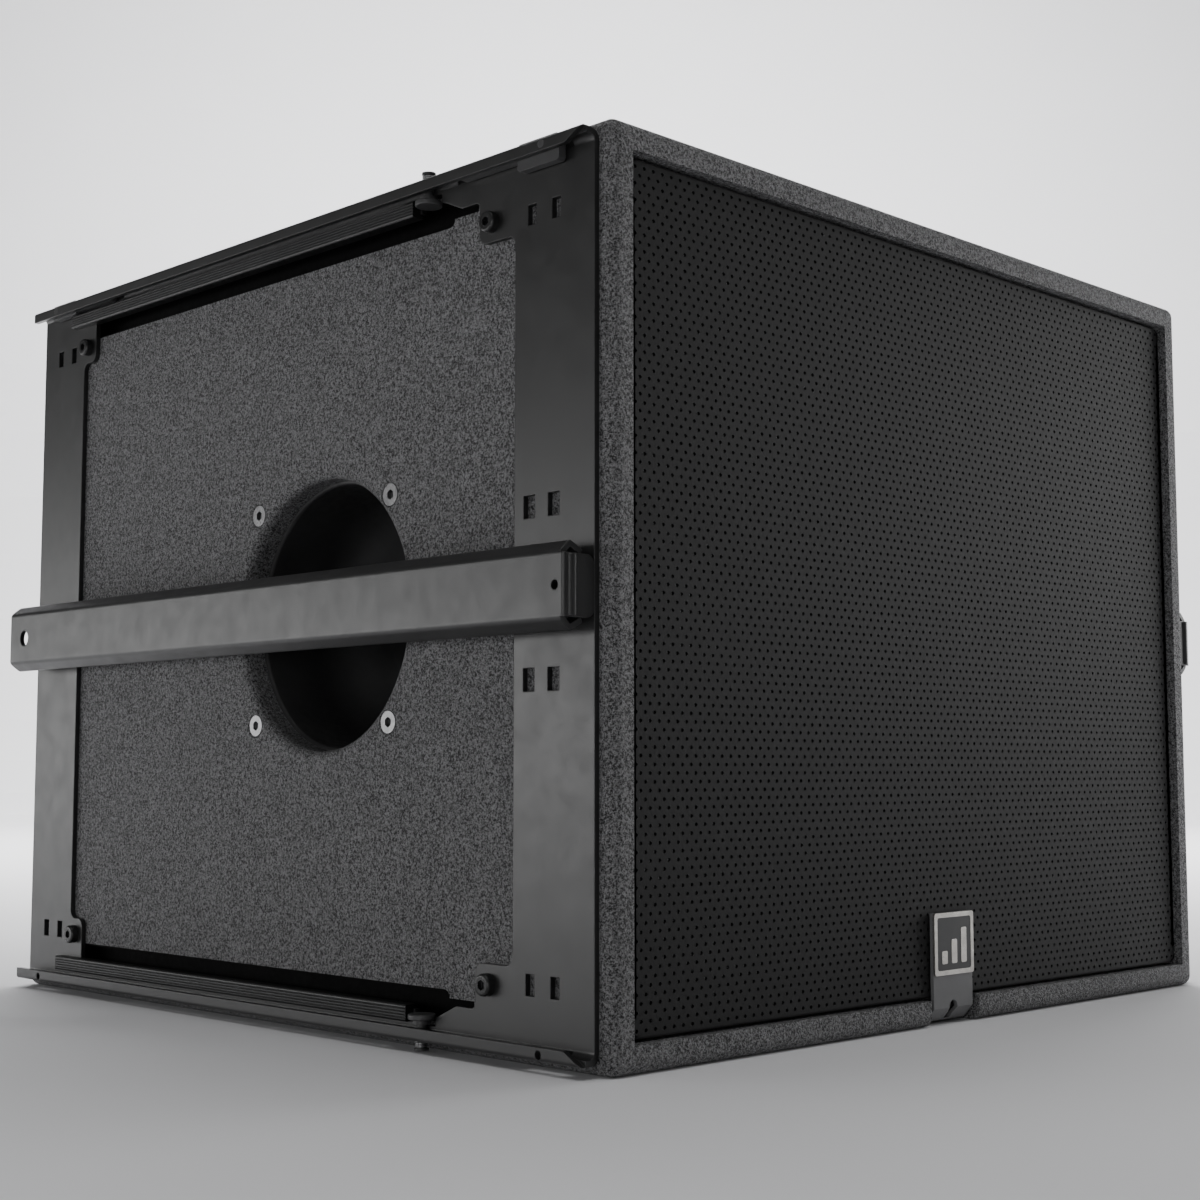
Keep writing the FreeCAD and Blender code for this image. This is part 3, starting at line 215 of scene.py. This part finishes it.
def grey(value):
    """Neutral colour, very slightly cool."""
    return (value, value, value * 1.02)


def textured_paint(name):
    """Thick sprayed paint: irregular pebbles about a millimetre across, their colour painted lighter on the
    high points and darker in the hollows (painted highlight and painted shade).
    """
    n = Nodes(name)
    fine = n.noise(0.75 * MM, detail=2, roughness=0.6)
    grain = n.noise(1.5 * MM, detail=2, roughness=0.5)
    patch = n.noise(22 * MM, detail=1)
    height = n.combine("ADD", n.combine("MULTIPLY", grain, 0.5), n.combine("MULTIPLY", fine, 0.5))
    # painted highlight on the pebbles' high points and painted shade in their hollows, taken from the
    # bump's height
    pebble_painted_light = n.spread(height, 0.38, 0.62, 0.0, 1.0)
    tone = n.mix(pebble_painted_light, grey(0.008), grey(0.300))
    n.colour(n.mix(n.spread(patch, 0.35, 0.65, 0.0, 0.1), tone, grey(0.110)))
    n.rough(n.spread(fine, 0.3, 0.7, 0.50, 0.70))
    n.bump([(height, 2.4 * MM)])
    n.set(specular=0.35)
    return n.material


def satin_paint(name, low, high, wear, rough=(0.34, 0.44), soft=0.5 * MM, gloss=0.5):
    """Powder coat: fine orange peel, slight cloudiness, and lighter rubbed edges."""
    n = Nodes(name)
    peel = n.noise(0.5 * MM, detail=2)
    cloud = n.noise(45 * MM, detail=3)
    tone = n.mix(n.spread(cloud, 0.35, 0.65, 0.0, 1.0), grey(low), grey(high))
    rubbed = n.spread(n.noise(7 * MM, detail=4), 0.45, 0.7, 0.0, 1.0)
    scuff = n.combine("MULTIPLY", n.edges(0.6 * MM), rubbed)
    n.colour(n.mix(scuff, tone, grey(wear)))
    n.rough(n.spread(n.noise(12 * MM, detail=3), 0.3, 0.7, *rough))
    n.bump([(peel, 0.035 * MM)], soft_edge=soft)
    n.set(specular=gloss)
    return n.material


def perforated_paint(name):
    """Dry, slightly cloudy black coat of a grille that foam shows through."""
    n = Nodes(name)
    speck = n.noise(1.1 * MM, detail=3)
    cloud = n.noise(30 * MM, detail=3)
    tone = n.mix(n.spread(speck, 0.35, 0.65, 0.0, 1.0), grey(0.007), grey(0.015))
    n.colour(n.mix(n.spread(cloud, 0.4, 0.7, 0.0, 0.4), tone, grey(0.014)))
    n.rough(n.spread(speck, 0.3, 0.7, 0.55, 0.7))
    n.bump([(speck, 0.12 * MM)])
    n.set(specular=0.35)
    return n.material


def brushed_metal(name, low, high, stretch):
    """Metal with fine brushing along one axis."""
    n = Nodes(name)
    lines = n.noise(0.35 * MM, detail=3, stretch=stretch)
    cloud = n.noise(9 * MM, detail=2)
    n.colour(n.mix(n.spread(cloud, 0.3, 0.7, 0.0, 1.0), low, high))
    n.rough(n.spread(lines, 0.3, 0.7, 0.24, 0.42))
    n.bump([(lines, 0.02 * MM)], soft_edge=0.3 * MM)
    n.set(metallic=1.0)
    return n.material


def moulded_plastic(name, low, high, rough=(0.42, 0.58), grain=0.7 * MM, gloss=0.5):
    """Spark-eroded plastic grain."""
    n = Nodes(name)
    skin = n.noise(grain, detail=2)
    cloud = n.noise(25 * MM, detail=2)
    n.colour(n.mix(n.spread(cloud, 0.3, 0.7, 0.0, 1.0), grey(low), grey(high)))
    n.rough(n.spread(n.noise(4 * MM, detail=2), 0.3, 0.7, *rough))
    n.bump([(skin, 0.05 * MM)], soft_edge=0.4 * MM)
    n.set(specular=gloss)
    return n.material


def woven_fabric(name, low, high, pitch):
    """Plain weave from two crossed waves; the gaps between threads are painted darker as painted shade."""
    n = Nodes(name)
    waves = []
    for axis in ("X", "Z"):
        wave = n.add("ShaderNodeTexWave", bands_direction=axis)
        wave.inputs["Scale"].default_value = 1 / (pitch * 20)
        wave.inputs["Distortion"].default_value = 1.0
        n.link(n.coord, wave.inputs["Vector"])
        waves.append(wave.outputs["Fac"])
    weave = n.combine("MULTIPLY", waves[0], waves[1])
    # painted shade in the gaps between threads, the low parts of the weave bump
    n.colour(n.mix(weave, low, high))
    n.bump([(weave, 0.2 * MM), (n.noise(0.4 * MM), 0.1 * MM)])
    n.set(roughness=0.95, sheen=0.3, sheen_roughness=0.6)
    return n.material


def open_foam(name, low, high, cell):
    """Open-cell foam; its pores are painted darker, as painted shade in the hollows of the bump."""
    n = Nodes(name)
    pores = n.cells(cell)
    # painted shade: darker colour in the pores, the same hollows as the bump
    n.colour(n.mix(n.spread(pores, 0.1, 0.6, 0.0, 1.0), low, high))
    n.bump([(pores, 0.6 * MM)])
    n.set(roughness=0.98, specular=0.15)
    return n.material


def plywood(name):
    """Birch plywood: long grain and thin dark plies."""
    n = Nodes(name)
    figure = n.noise(6 * MM, detail=4, stretch=(12, 12, 1))
    pores = n.noise(0.8 * MM, detail=2, stretch=(10, 10, 1))
    n.colour(n.mix(figure, (0.42, 0.27, 0.14), (0.62, 0.45, 0.27)))
    n.rough(n.spread(pores, 0.3, 0.7, 0.6, 0.8))
    n.bump([(pores, 0.1 * MM)])
    return n.material


def rough_casting(name, low, high, metallic):
    """Cast or pressed surface with a sandy skin."""
    n = Nodes(name)
    sand = n.noise(0.8 * MM, detail=3)
    cloud = n.noise(15 * MM, detail=2)
    n.colour(n.mix(n.spread(cloud, 0.3, 0.7, 0.0, 1.0), grey(low), grey(high)))
    n.rough(n.spread(sand, 0.3, 0.7, 0.45, 0.65))
    n.bump([(sand, 0.12 * MM)], soft_edge=0.4 * MM)
    n.set(metallic=metallic)
    return n.material


def pressed_paper(name):
    """Felted cone paper with a fine, uneven fibre."""
    n = Nodes(name)
    fibre = n.noise(1.2 * MM, detail=4, roughness=0.7)
    n.colour(n.mix(fibre, grey(0.015), grey(0.05)))
    n.rough(n.spread(fibre, 0.3, 0.7, 0.7, 0.9))
    n.bump([(fibre, 0.2 * MM)])
    return n.material


def wound_copper(name):
    """Fine copper turns round the Y axis, painted darker between the turns (painted shade) and lighter on
    their crests (painted highlight).
    """
    n = Nodes(name)
    wave = n.add("ShaderNodeTexWave", bands_direction="Y")
    wave.inputs["Scale"].default_value = 1 / (0.6 * MM * 20)
    n.link(n.coord, wave.inputs["Vector"])
    # painted shade between turns and painted highlight on their crests, from the same waves as the bump
    n.colour(n.mix(wave.outputs["Fac"], (0.35, 0.12, 0.05), (0.8, 0.38, 0.18)))
    n.rough(n.spread(n.noise(1 * MM), 0.3, 0.7, 0.3, 0.45))
    n.bump([(wave.outputs["Fac"], 0.1 * MM)])
    n.set(metallic=0.9)
    return n.material


def make_materials():
    nickel_low, nickel_high = (0.52, 0.50, 0.47), (0.68, 0.66, 0.62)
    return {
        "cabinet_paint": textured_paint("cabinet_paint"),
        "inner_wood": plywood("inner_wood"),
        "lining_fabric": open_foam("lining_fabric", grey(0.3), grey(0.5), 5 * MM),
        "grille_steel": perforated_paint("grille_steel"),
        "foam_fabric": open_foam("foam_fabric", grey(0.36), grey(0.52), 1.2 * MM),
        "black_steel": satin_paint("black_steel", 0.050, 0.065, wear=0.14),
        "frame_paint": satin_paint("frame_paint", 0.009, 0.013, wear=0.06, rough=(0.34, 0.41),
                                   soft=0.8 * MM, gloss=0.75),
        "badge_nickel": brushed_metal("badge_nickel", nickel_low, nickel_high, (12, 1, 1)),
        "screw_steel": brushed_metal("screw_steel", grey(0.35), grey(0.5), (1, 1, 8)),
        "black_screw": satin_paint("black_screw", 0.012, 0.02, wear=0.2, rough=(0.22, 0.34), soft=0.3 * MM),
        "bright_screw": brushed_metal("bright_screw", grey(0.16), grey(0.24), (1, 1, 6)),
        "basket_casting": rough_casting("basket_casting", 0.03, 0.05, 0.6),
        "rubber_black": moulded_plastic("rubber_black", 0.008, 0.014, rough=(0.6, 0.75)),
        "cone_paper": pressed_paper("cone_paper"),
        "coil_copper": wound_copper("coil_copper"),
        "spider_fabric": woven_fabric("spider_fabric", (0.35, 0.25, 0.1), (0.6, 0.48, 0.25), 1.2 * MM),
        "motor_steel": brushed_metal("motor_steel", grey(0.4), grey(0.55), (1, 8, 1)),
        "magnet_ferrite": rough_casting("magnet_ferrite", 0.02, 0.035, 0.2),
        "inner_plastic": moulded_plastic("inner_plastic", 0.02, 0.03),
        "socket_plastic": moulded_plastic("socket_plastic", 0.010, 0.016, rough=(0.35, 0.5)),
        "strip_plastic": moulded_plastic("strip_plastic", 0.005, 0.009, rough=(0.34, 0.44)),
        # liner_plastic: near-black matte insert in the grip channels, a dark part put where there is only
        # shade, standing in for painted shadow
        "liner_plastic": moulded_plastic("liner_plastic", 0.002, 0.004, rough=(0.7, 0.8), gloss=0.08),
        "badge_enamel": satin_paint("badge_enamel", 0.045, 0.060, wear=0.05, rough=(0.35, 0.45),
                                    soft=0.2 * MM),
        "clip_paint": satin_paint("clip_paint", 0.17, 0.20, wear=0.08, rough=(0.4, 0.5), soft=0.3 * MM),
        "cup_plastic": moulded_plastic("cup_plastic", 0.024, 0.034, rough=(0.4, 0.55), grain=0.9 * MM),
        "spring_steel": brushed_metal("spring_steel", grey(0.45), grey(0.6), (1, 1, 4)),
    }


def dress_nodes(materials):
    """Gives every CAD node the material of its slot."""
    slot_of = {s["node"]: s["material_slot"] for s in frame["record"]["subparts"]}
    for name, node in frame["nodes"].items():
        node.data.materials.clear()
        node.data.materials.append(materials[slot_of[name]])


# ---------------------------------------------------------------- mesh helpers
def mesh_object(name, mesh_data, material):
    """Object from a bmesh, with one material."""
    mesh = bpy.data.meshes.new(name)
    mesh_data.to_mesh(mesh)
    mesh_data.free()
    obj = bpy.data.objects.new(name, mesh)
    bpy.context.scene.collection.objects.link(obj)
    mesh.materials.append(material)
    return obj


def cabinet_piece(name, mesh_data, material, node):
    """Piece that rides on the cabinet and stands for one CAD node."""
    bmesh.ops.recalc_face_normals(mesh_data, faces=mesh_data.faces)
    obj = mesh_object(name, mesh_data, material)
    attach(obj, "cabinet")
    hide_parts(node)
    return obj


def shade_smooth(obj):
    for polygon in obj.data.polygons:
        polygon.use_smooth = True


def bridge(bm, loops):
    """Quads between successive closed loops of vertices."""
    for a, b in zip(loops, loops[1:]):
        for k in range(len(a)):
            j = (k + 1) % len(a)
            bm.faces.new((a[k], b[k], b[j], a[j]))


# ---------------------------------------------------------------- perforated grille


def perforation_cells():
    """Centres of the staggered holes that fit inside the grille's margin."""
    centre_x = (GRILLE_LOW.x + GRILLE_HIGH.x) / 2
    centre_z = (GRILLE_LOW.z + GRILLE_HIGH.z) / 2
    half_x = (GRILLE_HIGH.x - GRILLE_LOW.x) / 2 - PERF_MARGIN
    half_z = (GRILLE_HIGH.z - GRILLE_LOW.z) / 2 - PERF_MARGIN
    rows = int(half_z / PERF_ROW)
    columns = int(half_x / PERF_PITCH)
    centres = []
    for row in range(-rows, rows + 1):
        shift = PERF_PITCH / 2 if row % 2 else 0.0
        for column in range(-columns, columns + 1):
            x = column * PERF_PITCH + shift
            if abs(x) <= half_x - PERF_RADIUS:
                centres.append((centre_x + x, centre_z + row * PERF_ROW))
    return centres


def cell_outline():
    """The hexagonal tile round one hole, as PERF_SIDES points anticlockwise from +x."""
    half = PERF_PITCH / 2
    low = PERF_TILE_LOW
    peak = PERF_ROW - low
    return [(half, 0.0), (half, low), (0.0, peak), (-half, low), (-half, 0.0), (-half, -low),
            (0.0, -peak), (half, -low)]


def hole_outline():
    """Points of one hole's rim, each towards a point of its tile."""
    points = []
    for x, z in cell_outline():
        angle = math.atan2(z, x)
        points.append((PERF_RADIUS * math.cos(angle), PERF_RADIUS * math.sin(angle)))
    return points


def rounded_loop(inset, y, corner):
    """Points of the grille's outline moved inwards, anticlockwise seen from the front."""
    x0, x1 = GRILLE_LOW.x + inset, GRILLE_HIGH.x - inset
    z0, z1 = GRILLE_LOW.z + inset, GRILLE_HIGH.z - inset
    radius = max(corner - inset, 0.2 * MM)
    points = []
    for cx, cz, start in ((x1 - radius, z1 - radius, 0), (x0 + radius, z1 - radius, 90),
                          (x0 + radius, z0 + radius, 180), (x1 - radius, z0 + radius, 270)):
        for step in range(GRILLE_CORNER_STEPS + 1):
            angle = math.radians(start + 90 / GRILLE_CORNER_STEPS * step)
            points.append((cx + radius * math.cos(angle), y, cz + radius * math.sin(angle)))
    return points


def make_grille(material):
    """Folded pan with a staggered field of round holes punched through its front sheet."""
    bm = bmesh.new()
    front = GRILLE_LOW.y
    back = front + GRILLE_SHEET
    shared = {}

    def vertex(x, z):
        key = (round(x / MM, 3), round(z / MM, 3))
        if key not in shared:
            shared[key] = bm.verts.new((x, front, z))
        return shared[key]

    tile = cell_outline()
    hole = hole_outline()
    for cx, cz in perforation_cells():
        outer = [vertex(cx + x, cz + z) for x, z in tile]
        rim = [bm.verts.new((cx + x, front, cz + z)) for x, z in hole]
        deep = [bm.verts.new((cx + x, back, cz + z)) for x, z in hole]
        for k in range(PERF_SIDES):
            j = (k + 1) % PERF_SIDES
            bm.faces.new((outer[k], outer[j], rim[j], rim[k]))
            bm.faces.new((rim[k], rim[j], deep[j], deep[k]))

    field_edge = [e for e in bm.edges if len(e.link_faces) == 1
                  and abs(e.verts[0].co.y - front) < 1e-7 and abs(e.verts[1].co.y - front) < 1e-7]
    loops = []
    for angle in (90, 60, 30, 0):
        inset = GRILLE_BEND * (1 - math.cos(math.radians(angle)))
        y = front + GRILLE_BEND * (1 - math.sin(math.radians(angle)))
        loops.append([bm.verts.new(p) for p in rounded_loop(inset, y, GRILLE_CORNER)])
    loops.append([bm.verts.new(p) for p in rounded_loop(0.0, GRILLE_HIGH.y, GRILLE_CORNER)])
    bridge(bm, loops)
    first = [bm.edges.get(pair) for pair in zip(loops[0], loops[0][1:] + loops[0][:1])]
    bmesh.ops.triangle_fill(bm, use_beauty=True, use_dissolve=False, edges=field_edge + first,
                            normal=Vector((0, -1, 0)))
    cabinet_piece("perforated_grille", bm, material, "grille")


# ---------------------------------------------------------------- foam
def wavy(x, z):
    """Height of the foam's soft unevenness at a point of its face."""
    ripple = math.sin(x / (23 * MM)) * math.cos(z / (31 * MM))
    swell = math.sin((x + 2 * z) / (47 * MM))
    return FOAM_WAVE * (ripple + swell) / 2


def make_foam(material):
    """Thin acoustic foam sheet behind the holes: slightly wavy face, soft rounded rim."""
    low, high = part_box("grille_foam")
    columns = int((high.x - low.x) / FOAM_CELL)
    rows = int((high.z - low.z) / FOAM_CELL)
    rim = (high.y - low.y) / 2
    bm = bmesh.new()
    sheets = []
    for face in (1, -1):
        sheet = []
        for j in range(rows + 1):
            line = []
            for i in range(columns + 1):
                x = low.x + (high.x - low.x) * i / columns
                z = low.z + (high.z - low.z) * j / rows
                edge = min(x - low.x, high.x - x, z - low.z, high.z - z)
                half = rim * math.sqrt(min(1.0, (edge + FOAM_RIM) / rim))
                y = (low.y + high.y) / 2 - face * (half - FOAM_WAVE) + wavy(x, z)
                line.append(bm.verts.new((x, y, z)))
            sheet.append(line)
        sheets.append(sheet)
    for sheet in sheets:
        for a, b in zip(sheet, sheet[1:]):
            for i in range(columns):
                bm.faces.new((a[i], a[i + 1], b[i + 1], b[i]))
    outlines = []
    for sheet in sheets:
        outlines.append(sheet[0] + [line[-1] for line in sheet[1:]] + sheet[-1][-2::-1]
                        + [line[0] for line in sheet[-2:0:-1]])
    front, back = outlines
    for k in range(len(front)):
        j = (k + 1) % len(front)
        bm.faces.new((front[k], front[j], back[j], back[k]))
    shade_smooth(cabinet_piece("acoustic_foam", bm, material, "grille_foam"))


# ---------------------------------------------------------------- springs
def coil_mesh(low, high):
    """Round wire coiled inside a box, with its axis upright."""
    centre = (low + high) / 2
    radius = (high.x - low.x) / 2 - SPRING_WIRE
    height = high.z - low.z - 2 * SPRING_WIRE
    total = int(SPRING_TURNS * SPRING_RUNS)
    bm = bmesh.new()
    rings = []
    for k in range(total + 1):
        angle = 2 * math.pi * k / SPRING_RUNS
        out = Vector((math.cos(angle), math.sin(angle), 0))
        at = Vector((centre.x, centre.y, low.z + SPRING_WIRE + height * k / total)) + out * radius
        ring = []
        for side in range(SPRING_SIDES):
            turn = 2 * math.pi * side / SPRING_SIDES
            rise = Vector((0, 0, SPRING_WIRE * math.sin(turn)))
            ring.append(bm.verts.new(at + out * (SPRING_WIRE * math.cos(turn)) + rise))
        rings.append(ring)
    bridge(bm, rings)
    bm.faces.new(rings[0])
    bm.faces.new(rings[-1][::-1])
    return bm


def make_springs(material):
    """Round-wire springs of the lock plungers, which shorten as a plunger is pulled; here they are built at
    one fixed length.
    """
    for end in ("top", "bottom"):
        for side in ("right", "left"):
            node = f"lock_spring_{end}_{side}"
            low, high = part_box(node)
            spring = cabinet_piece(f"coil_spring_{end}_{side}", coil_mesh(low, high), material,
                                   node)
            shade_smooth(spring)
            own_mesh(spring)


# ---------------------------------------------------------------- stage, light and camera
def make_stage():
    """Pale floor that curves up into a backdrop."""
    n = Nodes("studio_floor")
    n.colour(n.mix(n.noise(0.4), grey(0.86), grey(0.9)))
    n.set(roughness=0.9, specular=0.1)
    bm = bmesh.new()
    profile = [(FLOOR_NEAR, 0.0), (FLOOR_BEND_START, 0.0)]
    for k in range(1, FLOOR_BEND_STEPS + 1):
        angle = math.radians(90 * k / FLOOR_BEND_STEPS)
        profile.append((FLOOR_BEND_START + FLOOR_BEND_RADIUS * math.sin(angle),
                        FLOOR_BEND_RADIUS * (1 - math.cos(angle))))
    profile.append((FLOOR_BEND_START + FLOOR_BEND_RADIUS, FLOOR_TOP))
    rows = [[bm.verts.new((x, y, z)) for x in (-FLOOR_HALF, FLOOR_HALF)] for y, z in profile]
    for a, b in zip(rows, rows[1:]):
        bm.faces.new((a[0], a[1], b[1], b[0]))
    floor = mesh_object("studio_floor", bm, n.material)
    floor.rotation_euler = (0, 0, -CAMERA_YAW)


def area_light(name, at, target, size, power, spread):
    """Rectangular softbox that points at a target."""
    data = bpy.data.lights.new(name, "AREA")
    data.shape = "RECTANGLE"
    data.size, data.size_y = size
    data.energy = power
    data.spread = math.radians(spread)
    light = bpy.data.objects.new(name, data)
    light.location = at
    light.rotation_euler = (Vector(target) - Vector(at)).to_track_quat("-Z", "Y").to_euler()
    bpy.context.scene.collection.objects.link(light)


def make_light():
    """Dim surroundings that look white to the camera, and the softboxes of LIGHTS."""
    world = bpy.data.worlds.new("studio")
    world.use_nodes = True
    tree = world.node_tree
    background = tree.nodes["Background"]
    path = tree.nodes.new("ShaderNodeLightPath")
    level = tree.nodes.new("ShaderNodeMapRange")
    level.inputs["To Min"].default_value = AMBIENT
    level.inputs["To Max"].default_value = 1.0
    tree.links.new(path.outputs["Is Camera Ray"], level.inputs["Value"])
    tree.links.new(level.outputs["Result"], background.inputs["Strength"])
    background.inputs["Color"].default_value = (1, 1, 1, 1)
    bpy.context.scene.world = world
    for light in LIGHTS:
        area_light(*light)


def make_camera():
    data = bpy.data.cameras.new("camera")
    data.sensor_width = CAMERA_SENSOR
    data.lens = CAMERA_LENS
    camera = bpy.data.objects.new("camera", data)
    camera.location = CAMERA_AT
    camera.rotation_euler = (math.radians(90) + CAMERA_PITCH, 0, -CAMERA_YAW)
    bpy.context.scene.collection.objects.link(camera)
    bpy.context.scene.camera = camera


# ---------------------------------------------------------------- build
materials = make_materials()
dress_nodes(materials)
make_grille(materials["grille_steel"])
make_foam(materials["foam_fabric"])
make_springs(materials["spring_steel"])
make_stage()
make_light()
make_camera()
